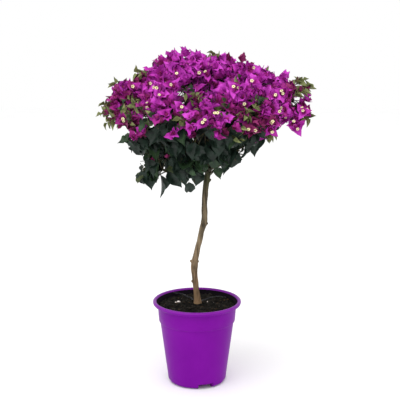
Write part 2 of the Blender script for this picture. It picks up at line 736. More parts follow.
def fitting_way(start, way, length, rng):
    """A direction near the wanted one along which a length stays in the head, or None."""
    for _ in range(FIT_TRIES):
        tip, middle = start + way * length, start + way * length * FIT_MIDDLE
        clear = not in_gap(middle, length * 0.5) and not crowds_feature(middle)
        if clear and in_head(tip) and in_outline(tip, margin=4) and in_outline(middle, margin=11):
            return way
        way = unit(way + (HEAD_CENTRE - start) / FIT_PULL + rng.normal(0, 0.35, 3))
    return None


def deeper(tint):
    return TINTS[min(TINTS.index(tint) + 1, len(TINTS) - 1)]


def neighbour_tint(tint, rng):
    """The tint, or now and then the next one."""
    index = TINTS.index(tint) + rng.choice([-1, 0, 0, 0, 1])
    return TINTS[min(max(index, 0), len(TINTS) - 1)]


def add_bracts(centre, facing, size, opening, tint, rng, turn=None):
    """Three bracts round a short stalk, like a cup that faces one way. Returns their directions."""
    if turn is None:
        turn = rng.uniform(0, TURN)
    ways = []
    for i in range(3):
        azimuth = turn + i * TURN / 3 + rng.normal(0, 0.12)
        along = turned(facing, opening + rng.normal(0, 0.14), azimuth)
        grown = size * rng.uniform(0.86, 1.06)
        inner, outer = bract_shapes[rng.integers(len(bract_shapes))]
        length, width = BRACT_LENGTH * grown, BRACT_WIDTH * grown * rng.uniform(0.88, 1.1)
        own = neighbour_tint(tint, rng)
        lean = facing + rng.normal(0, 0.16, 3)
        root = centre + along * 0.6
        for shape, shade in ((outer, own), (inner, deeper(own))):
            place_blade(heaps[f"bracts_{shade}"], shape, root, along, lean, length, width)
        ways.append(along)
    head_spots.append(centre + facing * BRACT_LENGTH * size * 0.5)
    return ways


# The tubes inside the bracts, open or in bud: the longest, and radii at shares of the length.
TUBE_SHARES = (0, 0.25, 0.75, 1)
OPEN_TUBE = (19, (0.55, 1.15, 1.0, 0.8))
BUD_TUBE = (16, (0.5, 1.1, 1.35, 0.4))
SHORTEST_TUBE = 14


def add_flowers(centre, facing, size, ways, stars, rng):
    """The slim tubes inside the bracts, the first few of them open as a star."""
    for i, way in enumerate(ways):
        longest, radii = OPEN_TUBE if i < stars else BUD_TUBE
        lean = unit(facing + way * rng.uniform(0.25, 0.5))
        tip = centre + lean * rng.uniform(SHORTEST_TUBE, longest) * size
        spots = np.array([mix(centre + way * 2, tip, share) for share in TUBE_SHARES])
        heaps["tubes"].add(*sweep(spots, np.array(radii) * size, sides=5))
        if i < stars:
            star_facing = unit(lean + rng.normal(0, 0.22, 3))
            width = rng.uniform(2.8, 3.4)
            for kind, shape in (("stars", star), ("throats", throat)):
                place_round(heaps[kind], shape, tip + star_facing * 0.8, star_facing, width)


# A head's glow picks its tint: the glow at a height, how much higher it grows by one, and the least glow
# of each tint but the last. Patches of colour reach this deep into the head.
GLOW = 0.3
GLOW_HEIGHT = 600
GLOW_RISE = 500
GLOW_FLOORS = (0.5, 0.15, -0.2)
PATCH_DEPTH = 60


def tint_of(point, rng):
    """Bract colour by place in the head, with some chance in it."""
    glow = GLOW + (point[2] - GLOW_HEIGHT) / GLOW_RISE + rng.normal(0, 0.26)
    if point[1] < PATCH_DEPTH:
        seen_x, seen_height = as_seen(point)
        for x, height, radius, strength in COLOUR_PATCHES:
            apart = (seen_x - x) ** 2 + (seen_height - height) ** 2
            glow += strength * math.exp(-apart / radius**2)
    return next((tint for tint, floor in zip(TINTS, GLOW_FLOORS) if glow > floor), TINTS[-1])


# Heads of blossom, wide open, half open or closed: chance of each, and ranges of opening and size.
CLUSTER_CHANCES = (0.24, 0.56, 0.2)
CLUSTER_FORMS = [((34, 48), (0.9, 1.05)), ((18, 33), (0.85, 1.05)), ((8, 18), (0.5, 0.75))]
WIDE_OPEN, CLOSED = 0, 2
# How much larger heads get toward the top, from where above the bloom line, and over what height.
TOP_GROWTH = 0.14
TOP_GROWTH_START = 80
TOP_GROWTH_SPAN = 60


def add_cluster(centre, wanted, rng, size=1.0):
    """One head of blossom, wide open, half open or still closed. Returns whether there was room."""
    height = (centre[2] - BLOOM_LINE - TOP_GROWTH_START) / TOP_GROWTH_SPAN
    size *= 1 + TOP_GROWTH * min(max(height, 0), 1)
    facing = fitting_way(centre, wanted, BRACT_LENGTH * size, rng)
    if facing is None:
        return False
    tint = tint_of(centre, rng)
    kind = rng.choice(3, p=CLUSTER_CHANCES)
    openings, sizes = CLUSTER_FORMS[kind]
    opening = math.radians(rng.uniform(*openings))
    grown = size * rng.uniform(*sizes)
    ways = add_bracts(centre, facing, grown, opening, deeper(tint) if kind == CLOSED else tint, rng)
    if kind != CLOSED:
        stars = rng.choice([0, 0, 0, 0, 1]) if kind == WIDE_OPEN else 0
        add_flowers(centre, facing, size, ways, stars, rng)
    return True


def add_blade_leaf(spot, root, along, facing, length, width, tint, rng):
    """A leaf with its stalk, which comes from a spot on a twig."""
    stalk = np.array([spot, mix(spot, root, 0.6), root + along * 1.5])
    heaps["green_twigs"].add(*sweep(stalk, radii=(0.55, 0.5, 0.4), sides=3))
    shapes = young_shapes if tint == "young" else leaf_shapes
    shape = shapes[rng.integers(len(shapes))]
    place_blade(heaps[f"leaves_{tint}"], shape, root, along, facing, length, width)
    leaf_spots.append(root + along * length * 0.5)
    leaf_sights.append(as_seen(leaf_spots[-1]))


# How far leaves may stand out of the head.
LEAF_OVERHANG = 6


def add_leaf(path, share, azimuth, length, tint, rng, hang=0.3):
    """A leaf at a share of a twig. hang is how far it droops. Returns whether there was room."""
    spot = path.at(share)
    away = unit(spot - HEAD_CENTRE)
    outward = leaning(path.tangent(share), 45, 75, azimuth, rng)
    root = spot + outward * length * rng.uniform(0.16, 0.28)
    along = unit(outward * 0.8 + away * 0.35 - UP * hang * rng.uniform(0.7, 1.3))
    tip, middle = root + along * length, root + along * length * 0.5
    if not in_head(tip, margin=-LEAF_OVERHANG):
        return False
    if not in_outline(tip, margin=rng.uniform(-5, 4)) or not in_outline(middle, margin=5):
        return False
    if in_gap(middle, length * 0.3) or crowds_feature(middle):
        return False
    facing = away * (0.55 + hang * 0.3) + UP * 0.5 + rng.normal(0, 0.36, 3)
    width = length * LEAF_WIDTH / LEAF_LENGTH * rng.uniform(0.86, 1.1)
    add_blade_leaf(spot, root, along, facing, length, width, tint, rng)
    return True


def small_leaf(share, rng):
    """The tint and length of a small pale leaf among the blossom."""
    return rng.choice(SMALL_LEAF_TINTS, p=(0.4, 0.4, 0.2)), LEAF_LENGTH * rng.uniform(0.26, 0.44)


def large_leaf(share, rng):
    """The tint and length of a leaf below the blossom, smaller toward the twig's tip."""
    tint = rng.choice(LEAF_TINTS, p=(0.76, 0.23, 0.01))
    return tint, LEAF_LENGTH * mix(1.05, 0.7, share) * rng.uniform(0.7, 1.15)


def add_leaves(path, shares, kind, rng, hang=0.3):
    """Leaves of a kind along a twig. Returns whether any found room."""
    turn = rng.uniform(0, 6)
    grown = False
    for i, share in enumerate(shares):
        tint, length = kind(share, rng)
        grown |= add_leaf(path, share, turn + i * GOLDEN_ANGLE, length, tint, rng, hang)
    return grown


# How a twig eases out of its limb: at most this share of its reach and this far, and how much earlier
# it bends.
TWIG_LEAD_SHARE = 0.45
LONGEST_TWIG_LEAD = 16
TWIG_EARLY = 0.3


def twig_to(start, heading, end, sag=0):
    """A twig that leaves along a heading and ends at a point."""
    reach = np.linalg.norm(end - start)
    ease = max(float(np.dot(heading, end - start)) / max(reach, 1), 0)
    lead = heading * min(reach * TWIG_LEAD_SHARE, LONGEST_TWIG_LEAD) * ease
    return bezier(start, mix(start, end, 0.5 - TWIG_EARLY * ease) + lead - UP * sag, end, divisions=12)


def add_twig(path, radii=TWIG_RADII, kind="twigs", sides=5, count=7):
    share = np.linspace(0, 1, count)
    heaps[kind].add(*sweep(path.spots(count), mix(radii[0], radii[1], share), sides))


def note_limb(path, shares):
    """Remembers places on a limb where later twigs may start."""
    for share in shares:
        limb_spots.append(path.at(share))
        limb_ways.append(path.tangent(share))


def nearest_limb(point):
    index = np.argmin(np.linalg.norm(np.array(limb_spots) - point, axis=1))
    return limb_spots[index], limb_ways[index]


def reach_out(near, end, *form):
    """A twig out to a point, from the limb that is nearest to another."""
    add_twig(twig_to(*nearest_limb(near), end), *form)


def blooms_at(point, rng):
    """True above the uneven line where blossom takes over from leaves."""
    x, height = as_seen(point)
    return height > height_over(BLOSSOM_EDGE, x) + 8 + rng.normal(0, 5)


def grow_spray(path, outward, rng):
    """A spray of blossom, a head at the twig's tip and others on side stalks.
    Returns whether any found room."""
    facing = unit(path.tangent(1) * 0.3 + outward * 0.5 + UP * 0.5 + rng.normal(0, 0.25, 3))
    grown = add_cluster(path.at(1), facing, rng, rng.uniform(0.9, 1.08))
    turn = rng.uniform(0, 6)
    for i, share in enumerate((0.9, 0.74, 0.56)[: rng.choice([2, 2, 3])]):
        start = path.at(share)
        way = leaning(path.tangent(share), 45, 70, turn + i * GOLDEN_ANGLE, rng)
        end = start + way * rng.uniform(12, 21)
        facing = unit(way * 0.45 + outward * 0.4 + UP * 0.4 + rng.normal(0, 0.25, 3))
        if add_cluster(end, facing, rng, rng.uniform(0.78, 1.0)):
            add_twig(twig_to(start, way, end), radii=(0.7, 0.5), kind="green_twigs", sides=4, count=4)
            grown = True
    return grown


def grow_bloom_twig(path, outward, rng):
    if in_places(path.at(1), LEAFY_PLACES) and rng.random() < LEAFY_CHANCE:
        grown = add_leaves(path, (0.5, 0.7, 0.85, 1), small_leaf, rng)
    else:
        grown = grow_spray(path, outward, rng)
        grown |= add_leaves(path, (0.35,), small_leaf, rng)
    if grown:
        add_twig(path)


def grow_leaf_twig(path, rng):
    if add_leaves(path, (0.3, 0.5, 0.68, 0.84, 0.98), large_leaf, rng, hang=1.3):
        add_twig(path)


# How far inside its mass's edge a twig's place is judged, how often and how far a target out of the
# mass's space is drawn in, and the shortest twig.
EDGE_INSET = 14
PULL_TRIES = 4
PULL_SHARE = 0.2
SHORTEST_TWIG = 12


def grow_twig(mass, start, heading, outward, rng):
    """One fine twig out to near the edge of the mass's space.
    It carries blossom, or below the line only leaves."""
    blooms = blooms_at(mass.centre + outward * (mass.reach - EDGE_INSET), rng)
    inset = rng.uniform(25, 36) if blooms else rng.uniform(14, 34)
    target = mass.centre + outward * (mass.reach - inset)
    for _ in range(PULL_TRIES):
        if mass.owns(target, margin=4) and in_outline(target, margin=8):
            break
        target = mix(target, mass.centre, PULL_SHARE)
    else:
        return
    if np.linalg.norm(target - start) < SHORTEST_TWIG:
        return
    if blooms:
        grow_bloom_twig(twig_to(start, heading, target), outward, rng)
    else:
        grow_leaf_twig(twig_to(start, heading, target, sag=3), rng)


def grow_low_leaves(mass, rng):
    """Leafy twigs from the bough, which close the head from below."""
    away = unit((mass.centre - HEAD_CENTRE) * (1, 1, 0))
    for i in range(LOW_TWIGS):
        share = mix(0.55, 1, (i + 0.5) / LOW_TWIGS)
        heading = leaning(mass.bough.tangent(share), 40, 70, i * GOLDEN_ANGLE + mass.seed, rng)
        way = unit(heading + away * 0.4 - UP * 0.15)
        start = mass.bough.at(share)
        end = start + way * rng.uniform(34, 58)
        inside = in_head(end, margin=-LEAF_OVERHANG) and in_outline(end, margin=8)
        if inside and not blooms_at(end, rng):
            grow_leaf_twig(twig_to(start, way, end, sag=6), rng)


def grow_mass(mass):
    """The stem and shoots of a mass by the source's rule, and the finer twigs on them."""
    rng = np.random.default_rng(mass.seed + 100)
    add_twig(mass.stem, radii=(3.0, 2.3), sides=7, count=9)
    note_limb(mass.stem, (0.4, 0.8))
    for shoot, blooms, direction, turn in mass.shoots():
        add_twig(shoot, SHOOT_RADII, sides=6)
        note_limb(shoot, (0.3, 0.6, 0.95))
        count = BLOOM_TWIGS if blooms else LEAF_TWIGS
        for j in range(count):
            angle = TWIG_CONE * math.sqrt((j + 0.35) / count)
            outward = turned(direction, angle, turn + j * GOLDEN_ANGLE)
            share = mix(0.98, 0.4, j / count)
            grow_twig(mass, shoot.at(share), shoot.tangent(share), outward, rng)
    grow_low_leaves(mass, rng)


# How bare places are looked for and filled: distances from the head's centre, tries, how deep under the
# surface growth is looked for, how far off it may be, and the shortest twig.
SURFACE_DISTANCES = range(236, 30, -4)
FILL_TRIES = 2600
FILL_DEPTH = 14
BLOOM_GAP = 15
LEAF_GAP = 24
SHORTEST_FILL = 6


def head_surface(way):
    """The furthest point along a direction from the head's centre that is still in the head."""
    for distance in SURFACE_DISTANCES:
        point = HEAD_CENTRE + way * distance
        if in_head(point) and in_outline(point):
            return point
    return HEAD_CENTRE


def is_bare(point, spots, gap):
    return np.linalg.norm(np.array(spots) - point, axis=1).min() > gap


def fill_bare_places(rng):
    """Further twigs wherever the head's surface has no blossom or leaf near by."""
    for i in range(FILL_TRIES):
        rise = 1 - (i + 0.5) / FILL_TRIES * 2
        level = math.sqrt(1 - rise * rise)
        way = np.array([math.cos(i * GOLDEN_ANGLE) * level, math.sin(i * GOLDEN_ANGLE) * level, rise])
        surface = head_surface(way)
        blooms = blooms_at(surface, rng)
        leafy = blooms and in_places(surface, LEAFY_PLACES)
        spot = surface - way * rng.uniform(22, 34)
        taken = head_spots + leaf_spots if leafy else head_spots if blooms else leaf_spots
        if not is_bare(surface - way * FILL_DEPTH, taken, BLOOM_GAP if blooms else LEAF_GAP):
            continue
        start, heading = nearest_limb(spot)
        if np.linalg.norm(spot - start) < SHORTEST_FILL:
            continue
        path = twig_to(start, heading, spot)
        if not blooms:
            grow_leaf_twig(path, rng)
            continue
        facing = unit(way * 0.6 + UP * 0.45 + rng.normal(0, 0.22, 3))
        if leafy and rng.random() < LEAFY_CHANCE:
            grown = add_leaves(path, (0.7, 0.85, 1), small_leaf, rng)
        else:
            grown = add_cluster(spot, facing, rng, rng.uniform(0.85, 1.05))
        if grown:
            add_twig(path)


SIGHT_RANGE = (-142, 131)
SIGHT_STEP = 8
SIGHT_GAP = 9


def close_sight_gaps(rng):
    """Leaves wherever a line of sight would pass through the head below its blossom."""
    for x in np.arange(*SIGHT_RANGE, SIGHT_STEP):
        low, high = height_over(HEAD_UNDERSIDE, x) + 10, height_over(BLOSSOM_EDGE, x) + 12
        for height in np.arange(low, high, SIGHT_STEP):
            middle = sight_point(x, height, depth=rng.uniform(-40, 40))
            nearest = min(math.hypot(x - leaf_x, height - leaf_z) for leaf_x, leaf_z in leaf_sights)
            if in_places(middle, OPENINGS, margin=8) or nearest < SIGHT_GAP:
                continue
            length = LEAF_LENGTH * rng.uniform(0.7, 0.95)
            along = unit(np.array([rng.normal(0, 0.5), rng.normal(0, 0.3), -1]))
            root = middle - along * length * 0.5
            twig_end = root + UP * 4
            reach_out(root, twig_end, GREEN_TWIG_RADII, "green_twigs")
            facing = np.array([rng.normal(0, 0.4), -1, rng.uniform(0, 0.6)])
            add_blade_leaf(twig_end, root, along, facing, length, length * 0.74, "dark", rng)


def grow_young(tip, rng):
    """A soft young shoot out to a tip, with small leaves and dull closed bracts."""
    base, _ = nearest_limb(mix(tip, HEAD_CENTRE, 0.22))
    path = bezier(base, mix(base, tip, 0.6) - UP * 5, tip, divisions=12)
    add_twig(path, (0.9, 0.35), "green_twigs")
    turn = rng.uniform(0, 6)
    for i in range(YOUNG_LEAVES):
        share = mix(0.5, 1, (i + 0.5) / YOUNG_LEAVES)
        length = mix(25, 17, share) * rng.uniform(0.85, 1.15)
        spot = path.at(share)
        along = leaning(path.tangent(share), 35, 70, turn + i * GOLDEN_ANGLE, rng)
        facing = UP * 0.6 + along * 0.1 + rng.normal(0, 0.5, 3)
        add_blade_leaf(spot, spot + along * 2.5, along, facing, length, length * 0.55, "young", rng)
    way = unit(path.tangent(1) + rng.normal(0, 0.3, 3))
    size = rng.uniform(0.5, 0.65)
    add_bracts(mix(path.at(1), base, 0.25), way, size, math.radians(18), "dusky", rng)


def grow_open_heads(rng):
    """Heads of blossom with open flowers, at the head's front."""
    for centre, stars in open_heads:
        facing = unit(unit(EYE - centre) * 0.8 + UP * 0.3 + rng.normal(0, 0.16, 3))
        reach_out(centre - facing * 32, centre)
        opening = math.radians(rng.uniform(34, 44))
        ways = add_bracts(centre, facing, rng.uniform(0.8, 0.95), opening, tint_of(centre, rng), rng)
        add_flowers(centre, facing, 1, ways, stars, rng)


def grow_leafy_places(rng):
    """Small pale leaves at the head's front, in the places with more leaves among the blossom."""
    for x, height, radius in LEAFY_PLACES:
        for _ in range(round(radius**2 * LEAFY_DENSITY)):
            away, azimuth = radius * math.sqrt(rng.random()), rng.uniform(0, TURN)
            seen = x + away * math.cos(azimuth), height + away * math.sin(azimuth)
            spot = front_of_head(*seen, depth_in=rng.uniform(2, 10))
            if in_places(spot, OPENINGS, margin=4) or in_places(spot, HOLLOWS, margin=-6):
                continue
            if crowds_feature(spot) or not in_head(spot, margin=-4) or not in_outline(spot, margin=4):
                continue
            length = LEAF_LENGTH * rng.uniform(0.24, 0.44)
            along = unit(rng.normal(0, 1, 3) + (0, -0.3, 0.2))
            facing = unit(EYE - spot) + rng.normal(0, 0.45, 3)
            root = spot - along * length * 0.4
            reach_out(root, root, (0.7, 0.4), "green_twigs", 4, 6)
            tint = rng.choice(SMALL_LEAF_TINTS, p=(0.25, 0.35, 0.4))
            width = length * rng.uniform(0.42, 0.62)
            add_blade_leaf(root, root + along, along, facing, length, width, tint, rng)


def grow_featured(rng):
    """The heads of blossom and the leaves that stand out, each on its own twig."""
    for spot, facing, size, opening, stars, tint, turn in FEATURED_HEADS:
        centre, facing = floats(spot), unit(floats(facing))
        reach_out(centre - facing * 35, centre)
        ways = add_bracts(centre, facing, size, math.radians(opening), tint, rng, math.radians(turn))
        add_flowers(centre, facing, size, ways, stars, rng)
    for root, tip, width, facing, tint in FEATURED_LEAVES:
        root, tip = floats(root), floats(tip)
        length = np.linalg.norm(tip - root)
        twig_end = root + UP * 5
        reach_out(root + UP * 20, twig_end, GREEN_TWIG_RADII, "green_twigs")
        add_blade_leaf(twig_end, root, (tip - root) / length, floats(facing), length, width, tint, rng)


GROWTH_STEPS = [grow_featured, grow_open_heads, grow_leafy_places, fill_bare_places, close_sight_gaps]
for mass in masses:
    grow_mass(mass)
for seed, grow in enumerate(GROWTH_STEPS, start=5):
    grow(np.random.default_rng(seed))
for seed, young_tip in enumerate(YOUNG_TIPS, start=40):
    grow_young(floats(young_tip), np.random.default_rng(seed))

# The stem and boughs, with their bark's relief.

TRUNK_SIDES = 40
TRUNK_RINGS = 260
BOUGH_SIDES = 12
BOUGH_RINGS = 34
# How far the stem's lowest ring is sunk, so that the tilted foot is under the soil all round.
FOOT_SINK = 1.5
# The foot's flare: how much it adds, how fast it fades with height, and its limit.
FLARE = 0.22
FLARE_HEIGHT = 9
FLARE_LIMIT = 1.2
# The height over which the bark's fissures turn by one radian round the stem.
BARK_TWIST = 160
# Along a stub: share of its length, and radius.
STUB_PROFILE = [(0, 5.2), (0.4, 4.6), (0.6, 3.6), (0.8, 2.7), (0.93, 2.2), (1, 1.3)]
STUB_SIDES = 10
THORNS = 3
THORN_LENGTH = 9


def bark_waves(around, along, radius, stretch, **form):
    """Noise on bark, read on a cylinder of this radius. A low stretch draws it out along the limb."""
    rows = [np.cos(around) * radius, np.sin(around) * radius, along * stretch]
    return waves(np.stack(rows, axis=-1).reshape(-1, 3), **form).reshape(along.shape)


def trunk_mesh(heap):
    share = np.linspace(0, 1, TRUNK_RINGS)
    spots = stem.spots(TRUNK_RINGS)
    spots[0] -= UP * FOOT_SINK
    radii = np.array([stem_radius(s) for s in share])
    height, around = np.meshgrid(share * stem.length, round_angles(TRUNK_SIDES), indexing="ij")
    twist = around + height / BARK_TWIST
    fissures = np.abs(bark_waves(twist, height, radius=6, stretch=0.12, count=9, scale=6.5, seed=3))
    swell = bark_waves(around, height, radius=6, stretch=0.5, count=7, scale=22, seed=8)
    relief = 1 + 0.07 * (fissures - 0.7) + 0.05 * swell
    flare = np.minimum(1 + FLARE * np.exp(-height / FLARE_HEIGHT), FLARE_LIMIT)
    heap.add(*sweep(spots, radii, TRUNK_SIDES, relief * flare, first=np.array([1.0, 0, 0])))


def stub_mesh(heap, share, azimuth, length):
    side = np.array([math.cos(math.radians(azimuth)), math.sin(math.radians(azimuth)), 0.35])
    start = stem.at(share)
    end = start + unit(side) * (stem_radius(share) + length * 0.45)
    shares, radii = np.array(STUB_PROFILE).T
    spots = np.array([mix(start, end, s) for s in shares])
    rng = np.random.default_rng(int(length * share * 100))
    places = rng.normal(size=(len(spots) * STUB_SIDES, 3))
    lumps = waves(places, count=3, scale=2, seed=1).reshape(len(spots), STUB_SIDES)
    heap.add(*sweep(spots, radii, STUB_SIDES, relief=1 + 0.12 * lumps))


def bough_mesh(heap, mass):
    share = np.linspace(0, 1, BOUGH_RINGS)
    radii = mass.root_radius * mix(1, BOUGH_TIP_SHARE, share)
    collar = 1 + 0.3 * np.exp(-share * 14)
    along, around = np.meshgrid(share * mass.bough.length, round_angles(BOUGH_SIDES), indexing="ij")
    lumps = bark_waves(around, along, radius=4, stretch=0.2, count=7, scale=6, seed=mass.seed + 30)
    heap.add(*sweep(mass.bough.spots(BOUGH_RINGS), radii * collar, BOUGH_SIDES, relief=1 + 0.05 * lumps))


def thorns(heap, path, rng):
    """Short curved spikes along a limb."""
    for i in range(THORNS):
        share = mix(0.12, 0.95, (i + rng.uniform(0.2, 0.8)) / THORNS)
        way = turned(path.tangent(share), math.radians(70), i * GOLDEN_ANGLE)
        start = path.at(share)
        tip = start + way * THORN_LENGTH + UP * THORN_LENGTH * 0.12
        spots = np.array([start, start + way * THORN_LENGTH * 0.6, tip])
        heap.add(*sweep(spots, radii=(0.9, 0.6, 0.1), sides=4))


trunk, boughs = Heap(), Heap()
trunk_mesh(trunk)
for stub in STEM_STUBS:
    stub_mesh(trunk, *stub)
thorn_rng = np.random.default_rng(77)
for mass in masses:
    bough_mesh(boughs, mass)
    thorns(boughs, mass.bough, thorn_rng)

# Pot and soil.

POT_SIDES = 144
NOTCH_COUNT = 3
NOTCH_AZIMUTH = -71.5
NOTCH_HALF_WIDTH = 15.5
NOTCH_HEIGHT = 10.5
# The foot ring at the notches: its middle radius, and the radii between which it is cut.
NOTCH_RADIUS = 57
NOTCH_RING = (50, 63.5)
# How wide a notch's side face is, and how near to it no other vertex stands, as angles.
NOTCH_SIDE = 0.006
NOTCH_CLEARANCE = 0.012
# The pot's outside from the middle of its underside up over the lip, and the lip's worn top: radius and
# height.
POT_OUTSIDE = [
    (0, 0), (19.4, 0), (20, 0.5), (21, 8), (52, 8), (51.2, 6.6), (50.8, 1.2), (51.3, 0.2), (52, 0),
    (54.6, 0), (55.4, 0.15), (58.3, 1.0), (60.6, 2.5), (62.2, 4.8), (63, 6.6), (63.3, 9.4),
    (63.7, 12.4), (64.2, 17), (67.6, 43), (71.9, 76), (75.7, 105), (79.4, 133.2), (79.6, 134.2),
    (80.1, 134.8), (81.6, 135.4), (82.1, 136.2), (83.3, 151), (84.8, 168.6), (85.1, 169.8),
    (86, 170.6), (88, 171), (91.4, 171.4), (93.4, 172.4), (94.6, 174.2), (95, 176.2),
]
POT_RIM = [(95, 176.2), (94.7, 178), (93.1, 179.5), (91.2, 180), (89.4, 179.6), (88, 178.3), (87.3, 176.4)]
# The dark inner layer, from under the lip down to the middle of the floor.
POT_INSIDE = [
    (87.3, 176.4), (86.6, 174), (84, 170), (82.8, 167), (80.1, 137.4), (77.4, 132.6), (61.3, 10), (0, 10),
]


def wrapped(angle, period):
    """An angle as its distance from the nearest whole period."""
    return (angle + period / 2) % period - period / 2


def pot_angles():
    """Even steps round the pot, with two more at each edge of each notch."""
    half = NOTCH_HALF_WIDTH / NOTCH_RADIUS
    edges = []
    for i in range(NOTCH_COUNT):
        middle = math.radians(NOTCH_AZIMUTH + 360 / NOTCH_COUNT * i)
        for side in (-1, 1):
            edges += [middle + side * half, middle + side * (half - NOTCH_SIDE)]
    clear = []
    for angle in round_angles(POT_SIDES):
        if all(abs(wrapped(angle - edge, TURN)) > NOTCH_CLEARANCE for edge in edges):
            clear.append(angle)
    return np.sort(np.array(clear + [edge % TURN for edge in edges])), half


def pot_mesh(heap, profile):
    angles, half = pot_angles()
    off = wrapped(angles - math.radians(NOTCH_AZIMUTH), TURN / NOTCH_COUNT)
    in_notch = np.abs(off) < half - NOTCH_SIDE / 2
    rings = []
    for radius, height in profile:
        heights = np.full(len(angles), float(height))
        if NOTCH_RING[0] < radius < NOTCH_RING[1] and height < NOTCH_HEIGHT:
            heights[in_notch] = NOTCH_HEIGHT
        rings.append(np.stack([np.cos(angles) * radius, np.sin(angles) * radius, heights], axis=1))
    heap.add(np.concatenate(rings), [grid_faces(len(profile), len(angles), closed=True)])


SOIL_HEIGHT = 168.6
SOIL_EDGE = 81.6
SOIL_RINGS = 64
SOIL_SIDES = 150
MOUND_RISE = 3.4
MOUND_RADIUS = 75
# The radius within which the soil is smooth under the stem, where it begins to sink to the wall, how far
# it sinks, and over what width both come in.
CALM_RADIUS = 7
SINK_RADIUS = 74
SINK_DEPTH = 0.8
SLOPE = 8


def soil_height(x, y):
    """The height of the potting soil: a mound round the stem, and crumbs."""
    radius = np.hypot(x, y)
    mound = MOUND_RISE * np.clip(1 - radius / MOUND_RADIUS, 0, 1) ** 0.9
    spot = np.stack([x, y], axis=-1).reshape(-1, 2)
    fine, coarse = waves(spot, count=14, scale=9, seed=5), waves(spot, count=10, scale=26, seed=6)
    crumbs = fine.reshape(x.shape) * 0.55 + coarse.reshape(x.shape) * 0.9
    calm = np.clip((radius - CALM_RADIUS) / SLOPE, 0, 1)
    return SOIL_HEIGHT + mound + crumbs * calm - SINK_DEPTH * np.clip((radius - SINK_RADIUS) / SLOPE, 0, 1)


def soil_mesh(heap):
    radius = np.linspace(0.4, SOIL_EDGE, SOIL_RINGS)
    r, a = np.meshgrid(radius, round_angles(SOIL_SIDES), indexing="ij")
    x, y = r * np.cos(a), r * np.sin(a)
    vertices = np.stack([x, y, soil_height(x, y)], axis=-1).reshape(-1, 3)
    heap.add(vertices, [grid_faces(SOIL_RINGS, SOIL_SIDES, closed=True)])


LUMP_ROWS = 5
LUMP_COLUMNS = 7
LUMP_CAP = 0.25
SCATTER_RADIUS = 79
FIBRE_RADIUS = 70


def lump_shape(seed, squash):
    """An irregular lump of radius 1, squashed along X."""
    rng = np.random.default_rng(seed)
    tilt = np.linspace(LUMP_CAP, math.pi - LUMP_CAP, LUMP_ROWS)
    t, s = np.meshgrid(tilt, round_angles(LUMP_COLUMNS), indexing="ij")
    lump = np.stack([np.cos(t) * squash, np.sin(t) * np.cos(s), np.sin(t) * np.sin(s)], axis=-1)
    lump = lump.reshape(-1, 3)
    lump *= rng.uniform(0.72, 1.15, len(lump))[:, None]
    vertices = np.concatenate([lump, [[squash, 0, 0]], [[-squash, 0, 0]]])
    count = len(lump)
    around = np.arange(LUMP_COLUMNS)
    top, bottom = fan(count, around), fan(count + 1, count - LUMP_COLUMNS + around, flipped=True)
    return vertices, [grid_faces(LUMP_ROWS, LUMP_COLUMNS, closed=True)[:, ::-1], top, bottom]


def scatter(heap, count, sizes, squash, seed):
    """Lumps lying half sunk on the soil."""
    rng = np.random.default_rng(seed)
    shapes = [lump_shape(seed + i, squash) for i in range(5)]
    for _ in range(count):
        radius, azimuth = SCATTER_RADIUS * math.sqrt(rng.uniform(0.012, 1)), rng.uniform(0, TURN)
        x, y = radius * math.cos(azimuth), radius * math.sin(azimuth)
        size = rng.uniform(*sizes)
        if radius + size > SOIL_EDGE:
            continue
        facing = unit(np.array([rng.normal(0, 0.5), rng.normal(0, 0.5), 1]))
        shape = shapes[rng.integers(len(shapes))]
        ground = float(soil_height(np.array([x]), np.array([y]))[0])
        place_round(heap, shape, np.array([x, y, ground + size * 0.15 * squash]), facing, size)


def fibres(heap, count, seed):
    """Thin bits of root and straw on the soil."""
    rng = np.random.default_rng(seed)
    for _ in range(count):
        radius, azimuth = FIBRE_RADIUS * math.sqrt(rng.uniform(0.05, 1)), rng.uniform(0, TURN)
        way = rng.uniform(0, TURN)
        length = rng.uniform(4, 11)
        along = np.linspace(-0.5, 0.5, 5) * length
        bow = (0.25 - (along / length) ** 2) * rng.normal(0, 5)
        x = radius * math.cos(azimuth) + along * math.cos(way) - bow * math.sin(way)
        y = radius * math.sin(azimuth) + along * math.sin(way) + bow * math.cos(way)
        spots = np.stack([x, y, soil_height(x, y) + 0.5], axis=1)
        heap.add(*sweep(spots, radii=(0.2, 0.35, 0.4, 0.35, 0.15), sides=4))


# The roots that lie on the soil, from the stem outward: x, y and how far above the soil.
ROOT_COURSES = [
    [(-3, 9, 0), (-10, 28, 0.5), (-22, 50, 1), (-32, 63, 2), (-44, 65, 6), (-54, 62, 9)],
    [(7, 8, 0), (18, 27, 0), (32, 43, 0.5), (49, 54, 1), (64, 47, 2)],
]
ROOT_RINGS = 24
# The paler stones that show on the soil: x, y and radius.
STONES = [(-40, 12, 4.2), (22, 12, 2.2), (-46, 8, 2.4)]
STONE_HEIGHT = 171.2


def root_meshes(heap):
    """Two roots that lie along the soil from the stem to the pot's wall."""
    for course in ROOT_COURSES:
        spots = centripetal([floats(row) for row in course]).spots(ROOT_RINGS)
        spots[:, 2] += soil_height(spots[:, 0], spots[:, 1]) + 0.9
        heap.add(*sweep(spots, np.linspace(2.3, 1.1, ROOT_RINGS), sides=8))


